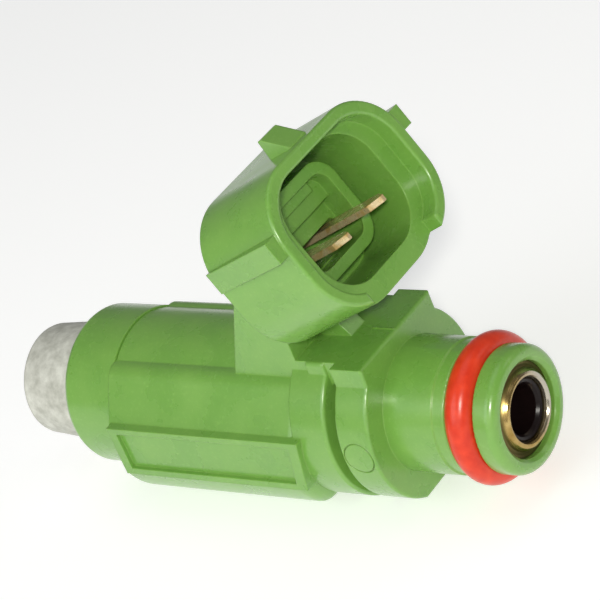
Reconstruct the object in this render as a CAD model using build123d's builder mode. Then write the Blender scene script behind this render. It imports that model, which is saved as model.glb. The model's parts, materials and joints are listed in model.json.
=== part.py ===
"""Fuel injector: a top-feed solenoid injector with a moulded two-pin socket.

X runs along the injector from the nozzle tip (x = 0) to the fuel inlet.
Z points to the connector side and Y across the injector.
Lengths are in millimetres.
"""
from build123d import *
import math
import os

os.makedirs("parts", exist_ok=True)

# ---------------------------------------------------------------- dimensions
LENGTH = 60.6            # tip face to inlet face
FIT = 0.02               # clearance between pieces fixed to each other

TIP_R = 5.9              # nozzle cap at the spray end
CAP_R = 6.2              # nozzle cap inside the sleeve
CAP_END = 12.3
SLEEVE_X = 8.4
SLEEVE_R = 8.3
BODY_X = 15.1            # rear face of the moulded body
BARREL_R = 8.12          # upper barrel of the body
SHELL_R = 10.4           # large lower shell of the body
SHELL_FRONT = 40.05      # front face of the shell on the axis
SHELL_RAKE = 12.0        # degrees the front face leans
SHELL_ROUND = 2.0        # rounding along the shell
SHELL_CORNER = 1.8       # rounding between the front face and the sides
FLAT_Y = 9.75            # half width over the side flats
LEDGE_Z = 6.65           # top of the shell beside the upper barrel
SHOULDER_Y = 6.1         # where the top slopes down to the side flats
SHOULDER_Z = 0.9         # where the slope meets them
BELLY_Z = -8.1           # flat on the underside
PAD_Y = 10.0             # half width over the raised side frames
RING_R = 9.35            # flange in front of the shell
RING_X = (39.2, 43.4)
RING_HALF = 5.8          # half width of the flange's flat top
CLIP_R = 7.1             # floor of the clip groove
CLIP_X = (43.4, 44.65)
COLLAR_R = 9.25
COLLAR_X = (44.65, 48.4)
COLLAR_TOP = 8.6
COLLAR_HALF = 6.5        # half width of the collar's flat top
BRIDGE_HALF = 5.5        # half width of the connector's foot
NECK_R = 6.72
NECK_END = 55.25
SEAL_FLOOR_R = 4.45
RIM_X = 58.25
RIM_R = 6.2

SEAL_SECTION = 1.46      # rail seal cord radius
SEAL_MEAN = 5.9          # rail seal ring radius
SEAL_X = 56.75

SOCKET_TILT = 24.0       # socket axis above the injector axis, degrees
SOCKET_X = 50.38         # centre of the socket mouth
SOCKET_Z = 23.29
SOCKET_Y = 10.29         # half width of the mouth across the injector
SOCKET_E = 7.72          # half height of the mouth
SOCKET_CORNER = 6.1
SOCKET_DEPTH = 10.8
SOCKET_GROW = 0.2        # how much wider each half is at the root
LIP_Y = 6.2              # half width of the set-back lower lip
LIP_E = 8.28             # lower wall outside the set-back lip
LIP_STEP = 2.0           # depth of the set-back lip and of the ledge inside
SOCKET_WALL = 1.3
RIB_E = 2.45             # guide ribs: height on the socket
RIB_WIDTH = 2.3
RIB_OUT = 1.3            # how far they stand out at the mouth
RIB_ROOT = 0.4           # and at the root
RIB_START = 0.3          # depth where they begin
PIN_Y = 3.1              # half spacing of the blades
PIN_E = -1.6             # height of the blades on the socket
PIN_TIP = 0.6            # depth of the blades' tips
PIN_WIDTH = 2.2
PIN_THICK = 0.64
PIN_BEVEL = 1.4          # length of the bevels at the tip
LEG_Y = 2.9              # half spacing of the legs down to the coil
LEG_WIDTH = 0.7
LEG_X = 37.8

YOKE_R = 7.2             # steel housing
YOKE_BORE = 6.6
TUBE_R = 3.75            # inlet tube in the moulding
INLET_BORE = 3.05
CORE_BORE = 2.0
GUIDE_R = 3.88           # bore the armature runs in
STEM_R = 1.0
BALL_R = 1.5
BALL_X = 5.6
CORE_X = 25.12           # pole face of the core

TILT = math.radians(SOCKET_TILT)
MOUTH = Vector(SOCKET_X, 0, SOCKET_Z)
OUT = Vector(math.cos(TILT), 0, math.sin(TILT))
UP = Vector(-math.sin(TILT), 0, math.cos(TILT))


def outline(points, rounds=()):
    """Closed (x, z) outline; rounds lists corners to round as (x, z, radius)."""
    with BuildSketch(Plane.XZ) as sketch:
        with BuildLine():
            Polyline(*points, close=True)
        make_face()
        for x, z, radius in rounds:
            fillet(sketch.vertices().sort_by_distance((x, z, 0))[0], radius)
    return sketch.sketch


def socket_plane(depth):
    """Plane across the socket, depth below its mouth: x across, y up."""
    return Plane(origin=MOUTH - OUT * depth, x_dir=(0, 1, 0), z_dir=tuple(OUT))


def socket_box(half_y, half_e, corner, centre=(0, 0)):
    """Rounded rectangle across the socket."""
    with BuildSketch() as sketch:
        with Locations(centre):
            RectangleRounded(2 * half_y, 2 * half_e, corner)
    return sketch.sketch


def socket_point(depth, height):
    """(x, z) of a point in the socket's mid plane."""
    point = MOUTH - OUT * depth + UP * height
    return (point.X, point.Z)


def terminal_form(grow=0.0):
    """Terminal on the -Y side: a flat blade, its bend and a narrow leg."""
    half = PIN_THICK / 2 + grow
    with BuildPart() as form:
        with BuildSketch(Plane.XZ.offset(PIN_Y)):
            with BuildLine():
                Polyline(
                    socket_point(PIN_TIP - grow, PIN_E + half),
                    socket_point(14.2, PIN_E + half),
                    (LEG_X - half, 15.4), (LEG_X - half, 14.2),
                    (LEG_X + half, 14.2), (LEG_X + half, 15.3),
                    socket_point(13.8, PIN_E - half),
                    socket_point(PIN_TIP - grow, PIN_E - half),
                    close=True,
                )
            make_face()
        extrude(amount=PIN_WIDTH / 2 + grow, both=True)
        with Locations((LEG_X, -LEG_Y, 10.4)):
            Box(2 * half, LEG_WIDTH + 2 * grow, 8.8 + 2 * grow)
    return form.part


# ---------------------------------------------------------------- mouldings
# large lower shell: sloping shoulders, side flats, a ledge on top and a flat belly
with BuildPart() as shell:
    with BuildSketch(Plane.YZ.offset(BODY_X)):
        Circle(SHELL_R)
        with BuildLine():
            Polyline(
                (SHOULDER_Y, LEDGE_Z), (FLAT_Y, SHOULDER_Z), (FLAT_Y, BELLY_Z),
                (-FLAT_Y, BELLY_Z), (-FLAT_Y, SHOULDER_Z), (-SHOULDER_Y, LEDGE_Z),
                close=True,
            )
        make_face(mode=Mode.INTERSECT)
    extrude(amount=30)
    lean = math.tan(math.radians(SHELL_RAKE))
    with BuildSketch(Plane.XZ):
        with BuildLine():
            Polyline(
                (SHELL_FRONT + 12 * lean, 12),
                (SHELL_FRONT - 12 * lean, -12),
                (60, -12),
                (60, 12),
                close=True,
            )
        make_face()
    extrude(amount=20, both=True, mode=Mode.SUBTRACT)
    fillet(shell.edges().filter_by(Axis.X), SHELL_ROUND)
    fillet(shell.faces().sort_by(Axis.X)[-1].edges(), SHELL_CORNER)

# flat top of the flange, and the collar in front of the clip groove
with BuildPart() as flange_top:
    with BuildSketch(Plane.YZ.offset(41.3)):
        with Locations((0, COLLAR_TOP - 2.6)):
            Rectangle(2 * RING_HALF, 5.2)
    extrude(amount=RING_X[1] - 41.3)
    fillet(flange_top.edges().filter_by(Axis.X).group_by(Axis.Z)[-1], 0.4)
    fillet(flange_top.faces().sort_by(Axis.X)[-1].edges(), 0.3)

with BuildPart() as collar:
    with BuildSketch(Plane.YZ.offset(COLLAR_X[0])):
        Circle(COLLAR_R)
        with Locations((0, (COLLAR_TOP - 8.1) / 2)):
            Rectangle(20, COLLAR_TOP + 8.1, mode=Mode.INTERSECT)
        with Locations((0, COLLAR_TOP - 2.6)):
            Rectangle(2 * COLLAR_HALF, 5.2)
    extrude(amount=COLLAR_X[1] - COLLAR_X[0])
    fillet(collar.faces().sort_by(Axis.X)[-1].edges(), 0.3)
    fillet(collar.faces().sort_by(Axis.X)[0].edges(), 0.15)

with BuildPart() as socket:
    # shell, slightly wider at its root
    with BuildSketch(socket_plane(SOCKET_DEPTH)):
        add(socket_box(SOCKET_Y + SOCKET_GROW, SOCKET_E + SOCKET_GROW, SOCKET_CORNER))
    extrude(amount=SOCKET_DEPTH, taper=math.degrees(SOCKET_GROW / SOCKET_DEPTH))
    # thicker lower wall behind the set-back lip
    with BuildSketch(socket_plane(SOCKET_DEPTH)):
        add(socket_box(9.4, LIP_E, 6.5))
        with Locations((0, -LIP_E / 2)):
            Rectangle(20, LIP_E, mode=Mode.INTERSECT)
    extrude(amount=SOCKET_DEPTH - LIP_STEP)
    with BuildSketch(socket_plane(LIP_STEP)):
        with Locations((0, -SOCKET_E)):
            Rectangle(2 * LIP_Y, 4.0)
    extrude(amount=LIP_STEP + 1, mode=Mode.SUBTRACT)
    with BuildSketch(socket_plane(LIP_STEP)):
        add(socket_box(SOCKET_Y - SOCKET_WALL, SOCKET_E - SOCKET_WALL + 0.1, 4.8, (0, -0.1)))
    extrude(amount=4, mode=Mode.SUBTRACT)
    fillet(socket.faces().sort_by(Axis(MOUTH, OUT))[-1].edges(), 0.32)
    # guide ribs on both sides, lower towards the root
    for side in (1, -1):
        middle = Plane(origin=MOUTH + UP * RIB_E, x_dir=(0, side, 0), z_dir=tuple(UP))
        with BuildSketch(middle):
            with BuildLine():
                Polyline(
                    (SOCKET_Y - 0.5, side * RIB_START),
                    (SOCKET_Y + RIB_OUT, side * RIB_START),
                    (SOCKET_Y + RIB_ROOT, side * SOCKET_DEPTH),
                    (SOCKET_Y - 0.5, side * SOCKET_DEPTH),
                    close=True,
                )
            make_face()
        extrude(amount=RIB_WIDTH / 2, both=True)

with BuildPart() as body_overmould:
    # upper barrel, flange and neck, turned about the injector axis
    revolve(
        outline(
            [
                (BODY_X, 0), (BODY_X, BARREL_R - 0.12),
                (BODY_X + 0.12, BARREL_R), (RING_X[0], BARREL_R),
                (RING_X[0], RING_R), (RING_X[1], RING_R), (RING_X[1], CLIP_R),
                (CLIP_X[1], CLIP_R), (CLIP_X[1], NECK_R),
                (53.9, NECK_R - 0.1), (54.0, NECK_R - 0.25),
                (NECK_END, NECK_R - 0.27), (NECK_END, SEAL_FLOOR_R),
                (RIM_X, SEAL_FLOOR_R), (RIM_X, RIM_R),
                (LENGTH, RIM_R), (LENGTH, 0),
            ],
            rounds=[
                (RING_X[1], RING_R, 0.35), (NECK_END, NECK_R - 0.27, 0.2),
                (RIM_X, RIM_R, 0.15), (LENGTH, RIM_R, 0.95),
            ],
        ),
        axis=Axis.X,
    )
    with Locations((RING_X[0], 0, COLLAR_TOP)):
        Box(
            5.0, 20, 4.0, mode=Mode.SUBTRACT,
            align=(Align.MIN, Align.CENTER, Align.MIN),
        )
    add(flange_top.part)
    add(collar.part)
    add(shell.part)
    # raised frame round a sunk panel on each side
    for side in (1, -1):
        with BuildSketch(Plane.XZ.offset(-side * 7.6)):
            with BuildLine():
                Polyline(
                    (15.3, 2.1), (40.28, 2.1),
                    (39.15, -3.9), (15.3, -3.9),
                    close=True,
                )
            make_face()
        extrude(amount=-side * (PAD_Y - 7.6), taper=3)
        with BuildSketch(Plane.XZ.offset(-side * (PAD_Y - 0.45))):
            with BuildLine():
                Polyline(
                    (16.45, 1.3), (38.75, 1.3),
                    (38.0, -3.05), (16.45, -3.05),
                    close=True,
                )
            make_face()
        extrude(amount=-side * 1.0, mode=Mode.SUBTRACT)
    # foot of the connector, running over the clip groove to the collar
    with BuildSketch(Plane.XZ):
        with BuildLine():
            Polyline(
                (31.3, 6.0), (34.95, 14.2), (38.9, 22.4),
                socket_point(9.5, 4.5), socket_point(9.5, -6.4),
                (43.2, 12.0), (40.0, 10.55), (40.0, COLLAR_TOP),
                (COLLAR_X[0] + 1, COLLAR_TOP), (COLLAR_X[0] + 1, 6.0),
                close=True,
            )
        make_face()
    extrude(amount=BRIDGE_HALF, both=True)
    add(socket.part)
    # latch lug on top
    with BuildSketch(Plane.XZ):
        with BuildLine():
            Polyline(
                socket_point(1.2, 7.0), socket_point(1.2, 7.9),
                socket_point(3.7, 9.87), socket_point(4.1, 9.87),
                socket_point(4.35, 7.0),
                close=True,
            )
        make_face()
    extrude(amount=1.35, both=True)
    # gusset between the socket and the collar
    with BuildSketch(Plane.XZ):
        with BuildLine():
            Polyline(
                (39.5, 8.0), (39.5, 12.0), (42.0, 11.6),
                (43.22, 9.7), (44.4, 8.1),
                close=True,
            )
        make_face()
    extrude(amount=1.2, both=True)
    # socket cavity with a walled island round the blades
    with BuildSketch(socket_plane(9.2)):
        add(socket_box(7.0, 6.15, 4.4))
        add(socket_box(5.4, 4.8, 2.6), mode=Mode.SUBTRACT)
    extrude(amount=7.2, mode=Mode.SUBTRACT)
    with BuildSketch(socket_plane(6.0)):
        add(socket_box(6.2, 5.4, 3.4))
    extrude(amount=4.2, mode=Mode.SUBTRACT)
    with BuildSketch(socket_plane(8.8)):
        add(socket_box(4.25, 3.65, 1.6))
    extrude(amount=3.2, mode=Mode.SUBTRACT)
    # deep well round the blades
    with BuildSketch(socket_plane(13.2)):
        add(socket_box(4.1, 1.35, 0.8, (0, -2.2)))
    extrude(amount=7, mode=Mode.SUBTRACT)
    # steps on the island floor
    with BuildSketch(socket_plane(9.0)):
        with Locations((0, 2.35)):
            Rectangle(8.7, 2.8)
    extrude(amount=1.4)
    with BuildSketch(socket_plane(9.0)):
        with Locations((0, 3.1)):
            Rectangle(5.0, 1.2)
    extrude(amount=2.1)
    # round mould marks on the collar's sides
    for side in (1, -1):
        with BuildSketch(Plane.XZ.offset(-side * (COLLAR_R - 0.28))):
            with Locations((46.5, 0.2)):
                Circle(1.7)
                Circle(1.58, mode=Mode.SUBTRACT)
        extrude(amount=-side * 1.0, mode=Mode.SUBTRACT)
    # parting line left across the collar's top
    with Locations((46.9, 0.2, COLLAR_TOP)):
        Box(2.6, 0.2, 0.16)
    # bore for the steel parts
    revolve(
        outline([
            (BODY_X - 1, 0), (BODY_X - 1, YOKE_R + FIT),
            (40.8 + FIT, YOKE_R + FIT), (40.8 + FIT, TUBE_R + FIT),
            (59.28, TUBE_R + FIT), (59.28, 4.64),
            (LENGTH - 0.35, 4.64), (LENGTH + 0.05, 5.05),
            (LENGTH + 1, 5.05), (LENGTH + 1, 0),
        ]),
        axis=Axis.X,
        mode=Mode.SUBTRACT,
    )
    # slots for the two terminals
    add(terminal_form(FIT), mode=Mode.SUBTRACT)
    add(mirror(terminal_form(FIT), about=Plane.XZ), mode=Mode.SUBTRACT)
body_overmould.part.label = "body_overmould"
export_step(body_overmould.part, "parts/body_overmould.step")

with BuildPart() as nozzle_sleeve:
    revolve(
        outline([
            (SLEEVE_X, CAP_R + 0.05), (SLEEVE_X, SLEEVE_R - 0.45),
            (SLEEVE_X + 0.13, SLEEVE_R - 0.13), (SLEEVE_X + 0.45, SLEEVE_R),
            (BODY_X - FIT, SLEEVE_R), (BODY_X - FIT, YOKE_R + FIT),
            (CAP_END + 0.1, YOKE_R + FIT), (CAP_END + 0.1, CAP_R + 0.05),
        ]),
        axis=Axis.X,
    )
nozzle_sleeve.part.label = "nozzle_sleeve"
export_step(nozzle_sleeve.part, "parts/nozzle_sleeve.step")

with BuildPart() as nozzle_cap:
    revolve(
        outline([
            (0, 2.8), (0, TIP_R - 0.4), (0.12, TIP_R - 0.1),
            (0.4, TIP_R), (3.4, CAP_R - 0.08), (5.0, CAP_R),
            (CAP_END, CAP_R), (CAP_END, 3.95 + FIT), (1.7, 3.95 + FIT),
            (1.7, 1.9),
        ]),
        axis=Axis.X,
    )
nozzle_cap.part.label = "nozzle_cap"
export_step(nozzle_cap.part, "parts/nozzle_cap.step")

# ---------------------------------------------------------------- seals
with BuildPart() as rail_o_ring:
    with BuildSketch(Plane.XZ):
        with Locations((SEAL_X, SEAL_MEAN)):
            Circle(SEAL_SECTION - 0.02)
    revolve(axis=Axis.X)
rail_o_ring.part.label = "rail_o_ring"
export_step(rail_o_ring.part, "parts/rail_o_ring.step")

with BuildPart() as seal_front:
    with BuildSketch(Plane.XZ):
        with Locations((17.5, 5.75)):
            Circle(0.8)
    revolve(axis=Axis.X)
seal_front.part.label = "seal_front"
export_step(seal_front.part, "parts/seal_front.step")

with BuildPart() as seal_rear:
    with BuildSketch(Plane.XZ):
        with Locations((28.5, 4.2)):
            Circle(0.32)
    revolve(axis=Axis.X)
seal_rear.part.label = "seal_rear"
export_step(seal_rear.part, "parts/seal_rear.step")

# ---------------------------------------------------------------- magnet
with BuildPart() as yoke_housing:
    revolve(
        outline([
            (12.42, 4.0), (12.42, YOKE_R), (40.8, YOKE_R),
            (40.8, YOKE_BORE), (13.92, YOKE_BORE), (13.92, 4.0),
        ]),
        axis=Axis.X,
    )
    # window that lets the terminals out
    with Locations((37.8, 0, 7.0)):
        Box(3.2, 7.4, 3.0, mode=Mode.SUBTRACT)
yoke_housing.part.label = "yoke_housing"
export_step(yoke_housing.part, "parts/yoke_housing.step")

with BuildPart() as yoke_washer:
    revolve(
        outline([
            (39.5, TUBE_R + FIT), (39.5, YOKE_BORE - FIT),
            (40.8, YOKE_BORE - FIT), (40.8, TUBE_R + FIT),
        ]),
        axis=Axis.X,
    )
yoke_washer.part.label = "yoke_washer"
export_step(yoke_washer.part, "parts/yoke_washer.step")

with BuildPart() as coil_bobbin:
    revolve(
        outline([
            (21.2, 4.56), (21.2, 6.5), (22.4, 6.5), (22.4, 5.1),
            (36.2, 5.1), (36.2, 6.5), (37.0, 6.5), (37.0, 5.8),
            (39.4, 5.8), (39.4, 4.56),
        ]),
        axis=Axis.X,
    )
coil_bobbin.part.label = "coil_bobbin"
export_step(coil_bobbin.part, "parts/coil_bobbin.step")

with BuildPart() as coil_winding:
    revolve(
        outline([
            (22.45, 5.12), (22.45, 6.3), (36.15, 6.3), (36.15, 5.12),
        ]),
        axis=Axis.X,
    )
coil_winding.part.label = "coil_winding"
export_step(coil_winding.part, "parts/coil_winding.step")

with BuildPart() as nonmagnetic_ring:
    revolve(
        outline([
            (21.05, GUIDE_R), (21.05, 4.5), (28.0, 4.5), (28.0, GUIDE_R),
        ]),
        axis=Axis.X,
    )
nonmagnetic_ring.part.label = "nonmagnetic_ring"
export_step(nonmagnetic_ring.part, "parts/nonmagnetic_ring.step")

with BuildPart() as terminal_left:
    add(terminal_form())
    with BuildSketch(Plane(origin=MOUTH, x_dir=(0, 1, 0), z_dir=tuple(UP))):
        for side in (1, -1):
            with BuildLine():
                Polyline(
                    (-PIN_Y + side * 0.2, PIN_TIP - 0.1),
                    (-PIN_Y + side * 1.4, PIN_TIP - 0.1),
                    (-PIN_Y + side * 1.4, PIN_TIP + PIN_BEVEL + 0.4),
                    (-PIN_Y + side * PIN_WIDTH / 2, PIN_TIP + PIN_BEVEL),
                    (-PIN_Y + side * 0.2, PIN_TIP),
                    close=True,
                )
            make_face()
    extrude(amount=6, both=True, mode=Mode.SUBTRACT)
terminal_left.part.label = "terminal_left"
export_step(terminal_left.part, "parts/terminal_left.step")

with BuildPart() as terminal_right:
    add(mirror(terminal_left.part, about=Plane.XZ))
terminal_right.part.label = "terminal_right"
export_step(terminal_right.part, "parts/terminal_right.step")

# ---------------------------------------------------------------- fuel path
with BuildPart() as inlet_tube:
    revolve(
        outline([
            (CORE_X, CORE_BORE), (CORE_X, 3.86), (29.6, 3.86),
            (29.6, 4.5), (39.45, 4.5), (39.45, TUBE_R),
            (59.3, TUBE_R), (59.3, 4.62), (59.7, 4.62), (59.76, 4.3),
            (59.95, 4.0), (60.25, 3.8), (60.5, 3.64), (60.6, 3.45),
            (60.54, 3.25), (60.36, 3.12), (60.1, INLET_BORE), (47.8, INLET_BORE),
            (46.8, CORE_BORE),
        ]),
        axis=Axis.X,
    )
inlet_tube.part.label = "inlet_tube"
export_step(inlet_tube.part, "parts/inlet_tube.step")

with BuildPart() as adjuster_tube:
    revolve(
        outline([
            (33.1, 1.2), (33.1, CORE_BORE - FIT),
            (41.0, CORE_BORE - FIT), (41.0, 1.2),
        ]),
        axis=Axis.X,
    )
adjuster_tube.part.label = "adjuster_tube"
export_step(adjuster_tube.part, "parts/adjuster_tube.step")

with BuildPart() as filter_ring:
    revolve(
        outline([
            (55.0, 2.82), (55.0, INLET_BORE - FIT),
            (58.4, INLET_BORE - FIT), (58.4, 2.82),
        ]),
        axis=Axis.X,
    )
filter_ring.part.label = "filter_ring"
export_step(filter_ring.part, "parts/filter_ring.step")

with BuildPart() as filter_frame:
    revolve(
        outline([
            (54.6, 2.4), (54.6, 2.8), (58.45, 2.8),
            (58.45, INLET_BORE - FIT), (59.95, INLET_BORE - FIT),
            (60.02, 2.85), (59.9, 2.6), (59.6, 2.4),
        ]),
        axis=Axis.X,
    )
    revolve(
        outline([(48.2, 0), (48.2, 2.5), (49.2, 2.5), (49.2, 0)]),
        axis=Axis.X,
    )
    for index in range(4):
        angle = math.radians(45 + 90 * index)
        with Locations((51.9, 2.45 * math.cos(angle), 2.45 * math.sin(angle))):
            Box(6.0, 0.5, 0.5)
filter_frame.part.label = "filter_frame"
export_step(filter_frame.part, "parts/filter_frame.step")

with BuildPart() as filter_mesh:
    revolve(
        outline([(49.25, 1.85), (49.25, 2.1), (54.55, 2.1), (54.55, 1.85)]),
        axis=Axis.X,
    )
filter_mesh.part.label = "filter_mesh"
export_step(filter_mesh.part, "parts/filter_mesh.step")

# ---------------------------------------------------------------- valve
with BuildPart() as valve_body:
    revolve(
        outline([
            (2.25, 3.2), (2.25, 3.95), (13.95, 3.95), (13.95, 6.58),
            (16.6, 6.58), (16.6, 4.93), (18.4, 4.93), (18.4, 6.58),
            (21.0, 6.58), (21.0, GUIDE_R), (14.0, GUIDE_R), (14.0, 2.1),
            (5.2, 2.1), (5.2, 3.2),
        ]),
        axis=Axis.X,
    )
valve_body.part.label = "valve_body"
export_step(valve_body.part, "parts/valve_body.step")

with BuildPart() as lift_stop:
    revolve(
        outline([
            (14.02, 1.3), (14.02, GUIDE_R - FIT),
            (15.0, GUIDE_R - FIT), (15.0, 1.3),
        ]),
        axis=Axis.X,
    )
lift_stop.part.label = "lift_stop"
export_step(lift_stop.part, "parts/lift_stop.step")

with BuildPart() as valve_seat:
    # the cone is tangent to the closed ball
    touch = BALL_R * math.sin(math.radians(45))
    cone_x = BALL_X - touch - 0.03
    revolve(
        outline([
            (2.45, 0.6), (2.45, 3.18), (5.18, 3.18),
            (5.18, touch + 5.18 - cone_x), (cone_x - touch + 0.6, 0.6),
        ]),
        axis=Axis.X,
    )
valve_seat.part.label = "valve_seat"
export_step(valve_seat.part, "parts/valve_seat.step")

with BuildPart() as orifice_plate:
    with BuildSketch(Plane.YZ.offset(2.25)):
        Circle(3.15)
        with PolarLocations(0.9, 4):
            Circle(0.15, mode=Mode.SUBTRACT)
    extrude(amount=0.18)
orifice_plate.part.label = "orifice_plate"
export_step(orifice_plate.part, "parts/orifice_plate.step")

with BuildPart() as valve_ball:
    with Locations((BALL_X, 0, 0)):
        Sphere(BALL_R)
valve_ball.part.label = "valve_ball"
export_step(valve_ball.part, "parts/valve_ball.step")

with BuildPart() as valve_stem:
    revolve(
        outline([
            (7.08, 0.5), (6.78, STEM_R), (12.4, STEM_R), (12.4, 1.8),
            (13.9, 1.8), (13.9, STEM_R), (20.8, STEM_R), (20.8, 0.5),
        ]),
        axis=Axis.X,
    )
valve_stem.part.label = "valve_stem"
export_step(valve_stem.part, "parts/valve_stem.step")

with BuildPart() as armature:
    revolve(
        outline([
            (17.4, STEM_R + FIT), (17.4, 3.58), (17.8, GUIDE_R - 0.05),
            (19.8, GUIDE_R - 0.05), (20.2, 3.58), (25.0, 3.58),
            (25.0, 1.9), (21.0, 1.9), (21.0, STEM_R + FIT),
        ]),
        axis=Axis.X,
    )
armature.part.label = "armature"
export_step(armature.part, "parts/armature.step")

with BuildPart() as return_spring:
    with BuildLine() as coil:
        Helix(pitch=1.6, height=11.2, radius=1.4, center=(21.45, 0, 0), direction=(1, 0, 0))
    with BuildSketch(Plane(origin=coil.line @ 0, z_dir=coil.line % 0)):
        Circle(0.25)
    sweep(is_frenet=True)
return_spring.part.label = "return_spring"
export_step(return_spring.part, "parts/return_spring.step")
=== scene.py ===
"""Looks of the fuel injector: materials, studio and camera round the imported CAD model.

The frame is the row's: metres, origin at the nozzle's tip face, +X to the fuel inlet, +Z to the socket.
"""
import json
import math
import bpy
from mathutils import Matrix, Vector


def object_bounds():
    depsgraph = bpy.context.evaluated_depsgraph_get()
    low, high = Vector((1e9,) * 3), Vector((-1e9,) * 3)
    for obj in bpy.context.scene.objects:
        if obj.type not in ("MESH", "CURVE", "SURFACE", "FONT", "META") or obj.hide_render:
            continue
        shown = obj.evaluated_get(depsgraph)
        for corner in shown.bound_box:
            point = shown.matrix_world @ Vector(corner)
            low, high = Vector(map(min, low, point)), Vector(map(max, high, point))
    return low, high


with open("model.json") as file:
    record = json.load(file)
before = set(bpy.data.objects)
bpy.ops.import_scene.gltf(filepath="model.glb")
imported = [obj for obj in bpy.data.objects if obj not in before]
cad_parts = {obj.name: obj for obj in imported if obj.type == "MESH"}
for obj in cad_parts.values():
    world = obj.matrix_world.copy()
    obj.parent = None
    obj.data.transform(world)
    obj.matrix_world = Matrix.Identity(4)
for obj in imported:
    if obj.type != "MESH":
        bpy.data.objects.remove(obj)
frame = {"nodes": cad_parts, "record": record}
cad_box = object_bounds()

MM = 0.001
TURNING = 0.12 * MM          # pitch of the turning marks
WIRE_PITCH = 0.25 * MM       # turns of the coil
LIP_X = 60.28 * MM           # where the inlet tube's lip gives way to its dish
DISH_X = 59.95 * MM          # and where it is all dish
FLOOR_GAP = 0.2 * MM
FLOOR_SIDE = 3.0
LIGHT_REACH = 0.6            # distance of every light from the middle
scene = bpy.context.scene


# ------------------------------------------------------------------ node helpers
class Shader:
    """A node material under construction, with a Principled BSDF at its end."""

    def __init__(self, name):
        self.material = bpy.data.materials.new(name)
        self.material.use_nodes = True
        self.tree = self.material.node_tree
        self.surface = self.tree.nodes["Principled BSDF"]
        self.coords = self.add("ShaderNodeTexCoord").outputs["Object"]

    def add(self, kind, links=None, **values):
        """A node with its properties set by attribute and its inputs by name."""
        node = self.tree.nodes.new(kind)
        for key, value in values.items():
            setattr(node, key, value)
        for key, value in (links or {}).items():
            self.put(node.inputs[key], value)
        return node

    def put(self, socket, value):
        if isinstance(value, bpy.types.NodeSocket):
            self.tree.links.new(value, socket)
        else:
            socket.default_value = value

    def set(self, **values):
        """Principled inputs, with spaces written as underscores."""
        for key, value in values.items():
            self.put(self.surface.inputs[key.replace("_", " ")], value)

    def noise(self, size, detail=3.0, rough=0.5, coords=None):
        """Noise whose grains are about size metres across."""
        node = self.add(
            "ShaderNodeTexNoise",
            {"Vector": coords or self.coords, "Scale": 1 / size, "Detail": detail, "Roughness": rough},
        )
        return node.outputs["Fac"]

    def map(self, value, low, high, to_low, to_high):
        node = self.add(
            "ShaderNodeMapRange",
            {"Value": value, "From Min": low, "From Max": high, "To Min": to_low, "To Max": to_high},
        )
        return node.outputs["Result"]

    def math(self, operation, a, b=0.0):
        node = self.add("ShaderNodeMath", {0: a, 1: b}, operation=operation)
        return node.outputs["Value"]

    def mix(self, factor, a, b):
        node = self.add("ShaderNodeMix", data_type="RGBA")
        self.put(node.inputs["Factor"], factor)
        self.put(node.inputs[6], a)
        self.put(node.inputs[7], b)
        return node.outputs[2]

    def bevel(self, radius):
        """Normal with the sharp edges rounded by radius metres."""
        node = self.add("ShaderNodeBevel", {"Radius": radius}, samples=6)
        return node.outputs["Normal"]

    def bump(self, height, depth, normal=None, strength=1.0):
        node = self.add("ShaderNodeBump", {"Height": height, "Distance": depth, "Strength": strength})
        if normal is not None:
            self.put(node.inputs["Normal"], normal)
        return node.outputs["Normal"]

    def edges(self, rounded):
        """1 on sharp edges and 0 on flats, from the rounded normal."""
        flat = self.add("ShaderNodeNewGeometry").outputs["Normal"]
        dot = self.add("ShaderNodeVectorMath", {0: rounded, 1: flat}, operation="DOT_PRODUCT")
        return self.map(dot.outputs["Value"], 0.99, 0.80, 0.0, 1.0)

    def length(self, coords, parts):
        """Length of the coordinates along two of the axes, such as the radius from the YZ pair."""
        split = self.add("ShaderNodeSeparateXYZ", {0: coords})
        squares = [self.math("MULTIPLY", split.outputs[p], split.outputs[p]) for p in parts]
        return self.math("SQRT", self.math("ADD", *squares))


def rgba(red, green, blue):
    return (red, green, blue, 1.0)


# ------------------------------------------------------------------ materials
def green_moulding():
    """Satin glass-filled nylon: a faint mottle, spark-eroded grain and a painted highlight along the sharp
    edges.
    """
    s = Shader("green_moulding")
    mottle = s.noise(4.0 * MM, detail=4.0)
    speck = s.noise(0.35 * MM, detail=2.0)
    colour = s.mix(s.map(mottle, 0.3, 0.7, 0.0, 1.0), rgba(0.142, 0.325, 0.052), rgba(0.176, 0.368, 0.064))
    colour = s.mix(s.map(speck, 0.55, 0.75, 0.0, 0.35), colour, rgba(0.23, 0.44, 0.10))
    rounded = s.bevel(0.22 * MM)
    # painted highlight: the sharp edges are mixed toward a paler green
    colour = s.mix(s.math("MULTIPLY", s.edges(rounded), 0.3), colour, rgba(0.25, 0.50, 0.06))
    grain = s.bump(s.noise(0.18 * MM, detail=3.0), 0.012 * MM, rounded, 0.5)
    waves = s.bump(s.noise(2.5 * MM, detail=1.0), 0.05 * MM, grain, 0.35)
    s.set(Base_Color=colour, Roughness=s.map(mottle, 0.3, 0.7, 0.24, 0.33), Normal=waves)
    s.set(Specular_IOR_Level=0.5, IOR=1.52, Coat_Weight=0.35, Coat_Roughness=0.18)
    s.set(Subsurface_Weight=0.12, Subsurface_Radius=(0.6, 1.0, 0.25), Subsurface_Scale=0.6 * MM)
    return s.material


def grey_cap():
    """Matte mottled grey, stained by fuel."""
    s = Shader("grey_cap")
    mottle = s.noise(1.6 * MM, detail=6.0, rough=0.65)
    colour = s.mix(s.map(mottle, 0.32, 0.68, 0.0, 1.0), rgba(0.36, 0.36, 0.31), rgba(0.62, 0.62, 0.56))
    pits = s.bump(s.noise(0.3 * MM, detail=4.0), 0.03 * MM, s.bevel(0.2 * MM), 0.6)
    s.set(Base_Color=colour, Roughness=0.62, Normal=pits)
    return s.material


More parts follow.
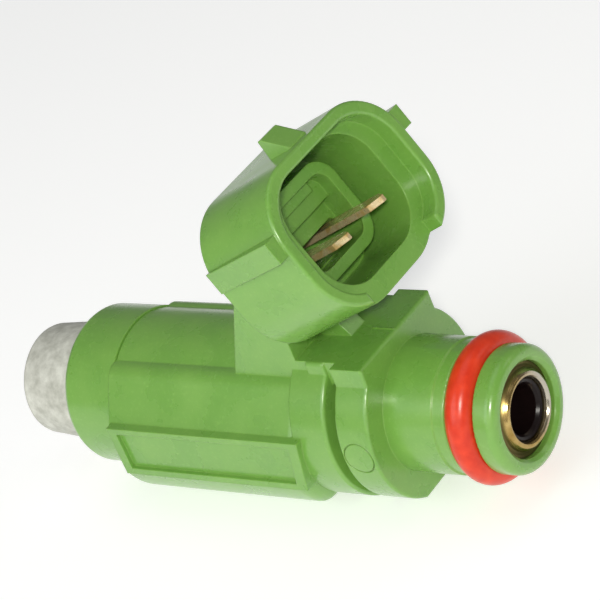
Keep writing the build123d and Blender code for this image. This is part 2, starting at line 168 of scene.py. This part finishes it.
def rubber(name, dark, light, roughness):
    """Moulded rubber: a soft mottle and a fine skin."""
    s = Shader(name)
    mottle = s.noise(1.2 * MM, detail=4.0)
    colour = s.mix(s.map(mottle, 0.3, 0.7, 0.0, 1.0), dark, light)
    skin = s.bump(s.noise(0.25 * MM, detail=3.0), 0.010 * MM, None, 0.5)
    s.set(Base_Color=colour, Roughness=roughness, Normal=skin, Specular_IOR_Level=0.4)
    return s.material


def turned_metal(name, dark, light, roughness, pitch=TURNING):
    """Metal turned on a lathe: fine rings about the injector's axis."""
    s = Shader(name)
    radius = s.length(s.coords, "YZ")
    along = s.add("ShaderNodeSeparateXYZ", {0: s.coords}).outputs["X"]
    path = s.math("ADD", radius, along)
    rings = s.math("SINE", s.math("MULTIPLY", path, 2 * math.pi / pitch))
    stain = s.noise(1.5 * MM, detail=5.0)
    colour = s.mix(s.map(stain, 0.3, 0.7, 0.0, 1.0), dark, light)
    cut = s.bump(rings, 0.003 * MM, s.bevel(0.08 * MM), 0.4)
    s.set(Base_Color=colour, Metallic=1.0, Roughness=roughness, Normal=cut)
    return s.material


def passivated_tube():
    """The inlet tube: straw-coloured passivation with a painted silver reflection toward its +Y side, brown
    down in its dish.
    """
    s = Shader("passivated_tube")
    along = s.add("ShaderNodeSeparateXYZ", {0: s.coords})
    stain = s.noise(1.2 * MM, detail=5.0)
    straw = s.mix(s.map(stain, 0.3, 0.7, 0.0, 1.0), rgba(0.34, 0.22, 0.06), rgba(0.54, 0.39, 0.15))
    # painted reflection: the straw colour turns silver grey toward +Y
    painted_reflection_side = s.map(along.outputs["Y"], -0.5 * MM, 3.0 * MM, 0.0, 0.85)
    colour = s.mix(painted_reflection_side, straw, rgba(0.50, 0.48, 0.43))
    dish = s.map(along.outputs["X"], LIP_X, DISH_X, 0.0, 1.0)
    colour = s.mix(dish, colour, rgba(0.15, 0.12, 0.045))
    rings = s.math("SINE", s.math("MULTIPLY", s.length(s.coords, "YZ"), 2 * math.pi / TURNING))
    cut = s.bump(rings, 0.002 * MM, s.bevel(0.10 * MM), 0.25)
    s.set(Base_Color=colour, Metallic=1.0, Roughness=s.map(dish, 0.0, 1.0, 0.20, 0.45), Normal=cut)
    return s.material


def plain_plastic(name, colour, roughness):
    """Dull inner plastic with a faint mottle and grain."""
    s = Shader(name)
    lighter = tuple(min(1, c * 1.4) for c in colour)
    tone = s.mix(s.map(s.noise(1.0 * MM), 0.3, 0.7, 0.0, 1.0), colour, lighter)
    grain = s.bump(s.noise(0.2 * MM), 0.01 * MM, None, 0.5)
    s.set(Base_Color=tone, Roughness=roughness, Normal=grain)
    s.set(Specular_IOR_Level=0.2)
    return s.material


def terminal_plating():
    """Tin plating worn through to brass along the blade."""
    s = Shader("terminal_plating")
    worn = s.noise(0.9 * MM, detail=5.0)
    rounded = s.bevel(0.12 * MM)
    mask = s.math("ADD", s.map(worn, 0.42, 0.62, 0.0, 0.8), s.math("MULTIPLY", s.edges(rounded), 0.5))
    colour = s.mix(mask, rgba(0.66, 0.53, 0.31), rgba(0.52, 0.33, 0.10))
    scratches = s.bump(s.noise(0.15 * MM, detail=4.0), 0.006 * MM, rounded, 0.5)
    s.set(Base_Color=colour, Metallic=0.45, Roughness=s.map(worn, 0.3, 0.7, 0.20, 0.38), Normal=scratches)
    return s.material


def slot_materials():
    return {
        "green_moulding": green_moulding(),
        "grey_cap": grey_cap(),
        "red_rubber": rubber("red_rubber", rgba(0.58, 0.028, 0.008), rgba(0.72, 0.050, 0.014), 0.29),
        "black_rubber": rubber("black_rubber", rgba(0.02, 0.02, 0.02), rgba(0.04, 0.04, 0.04), 0.5),
        "magnet_steel": turned_metal("magnet_steel", rgba(0.36, 0.36, 0.35), rgba(0.50, 0.50, 0.48), 0.42),
        "bobbin_plastic": plain_plastic("bobbin_plastic", rgba(0.03, 0.025, 0.025), 0.5),
        "copper_wire": turned_metal(
            "copper_wire", rgba(0.45, 0.16, 0.06), rgba(0.65, 0.26, 0.10), 0.3, WIRE_PITCH
        ),
        "stainless": turned_metal("stainless", rgba(0.45, 0.45, 0.44), rgba(0.60, 0.60, 0.58), 0.28),
        "terminal_plating": terminal_plating(),
        "passivated_tube": passivated_tube(),
        "filter_plastic": plain_plastic("filter_plastic", rgba(0.006, 0.003, 0.003), 0.30),
        "filter_cloth": plain_plastic("filter_cloth", rgba(0.25, 0.23, 0.19), 0.8),
        "ground_steel": turned_metal("ground_steel", rgba(0.55, 0.55, 0.55), rgba(0.65, 0.65, 0.65), 0.15),
        "spring_steel": turned_metal("spring_steel", rgba(0.30, 0.30, 0.30), rgba(0.42, 0.42, 0.42), 0.3),
    }


materials = slot_materials()
for row in frame["record"]["subparts"]:
    node = frame["nodes"][row["node"]]
    for index in range(len(node.material_slots)):
        node.material_slots[index].material = materials[row["material_slot"]]


# ------------------------------------------------------------------ studio
def aim(obj, place, target):
    """Stand obj at place, looking along its -Z at target."""
    turn = (target - place).to_track_quat("-Z", "Y").to_matrix().to_4x4()
    obj.matrix_world = Matrix.Translation(place) @ turn


def area_light(name, place, target, size, power, colour):
    data = bpy.data.lights.new(name, "AREA")
    data.shape = "DISK"
    data.size = size
    data.energy = power
    data.color = colour
    light = bpy.data.objects.new(name, data)
    scene.collection.objects.link(light)
    aim(light, place, target)


low, high = cad_box
middle = Vector(((low[0] + high[0]) / 2, 0.0, (low[2] + high[2]) / 2))

floor_mesh = bpy.data.meshes.new("floor")
corners = [(x * FLOOR_SIDE, y * FLOOR_SIDE, 0) for x, y in ((-1, -1), (1, -1), (1, 1), (-1, 1))]
floor_mesh.from_pydata(corners, [], [(0, 1, 2, 3)])
floor = bpy.data.objects.new("floor", floor_mesh)
floor.location = (0, 0, low[2] - FLOOR_GAP)
scene.collection.objects.link(floor)
pale = Shader("pale_floor")
pale.set(Base_Color=rgba(0.8, 0.8, 0.8), Roughness=0.9)
pale.set(Emission_Color=rgba(1, 1, 1), Emission_Strength=0.40)
floor.data.materials.append(pale.material)

world = bpy.data.worlds.new("studio")
world.use_nodes = True
world.node_tree.nodes["Background"].inputs["Color"].default_value = rgba(1, 1, 1)
world.node_tree.nodes["Background"].inputs["Strength"].default_value = 0.20
scene.world = world

# azimuth and height of each light in degrees, its size in metres, its watts and its colour
LIGHTS = {
    "key": (-46, 30, 0.045, 2.15, (1.0, 0.98, 0.90)),
    "front": (-72, 14, 0.30, 0.30, (1.0, 0.97, 0.86)),
    "fill": (-105, 30, 0.45, 1.15, (0.92, 0.97, 1.0)),
    "top": (0, 85, 0.50, 0.42, (0.95, 0.97, 1.0)),
    "side": (40, 28, 0.20, 0.12, (1.0, 0.98, 0.90)),
}
for name, (azimuth, height, size, watts, colour) in LIGHTS.items():
    turn, rise = math.radians(azimuth), math.radians(height)
    way = Vector((math.cos(rise) * math.cos(turn), math.cos(rise) * math.sin(turn), math.sin(rise)))
    area_light(name, middle + way * LIGHT_REACH, middle, size, watts, colour)

scene.view_settings.view_transform = "Standard"

# ------------------------------------------------------------------ camera
FOCAL = 156.0
EYE = Vector((0.19546, -0.15516, 0.12929))
RIGHT = Vector((0.7774, 0.5245, -0.3472))
UP = Vector((-0.0312, 0.5834, 0.8116))
BACK = Vector((0.6282, -0.6201, 0.4699))

camera_data = bpy.data.cameras.new("camera")
camera_data.lens = FOCAL
camera_data.sensor_width = 36.0
camera_data.clip_start = 0.01
camera = bpy.data.objects.new("camera", camera_data)
scene.collection.objects.link(camera)
camera.matrix_world = Matrix((
    (RIGHT.x, UP.x, BACK.x, EYE.x),
    (RIGHT.y, UP.y, BACK.y, EYE.y),
    (RIGHT.z, UP.z, BACK.z, EYE.z),
    (0, 0, 0, 1),
))
scene.camera = camera
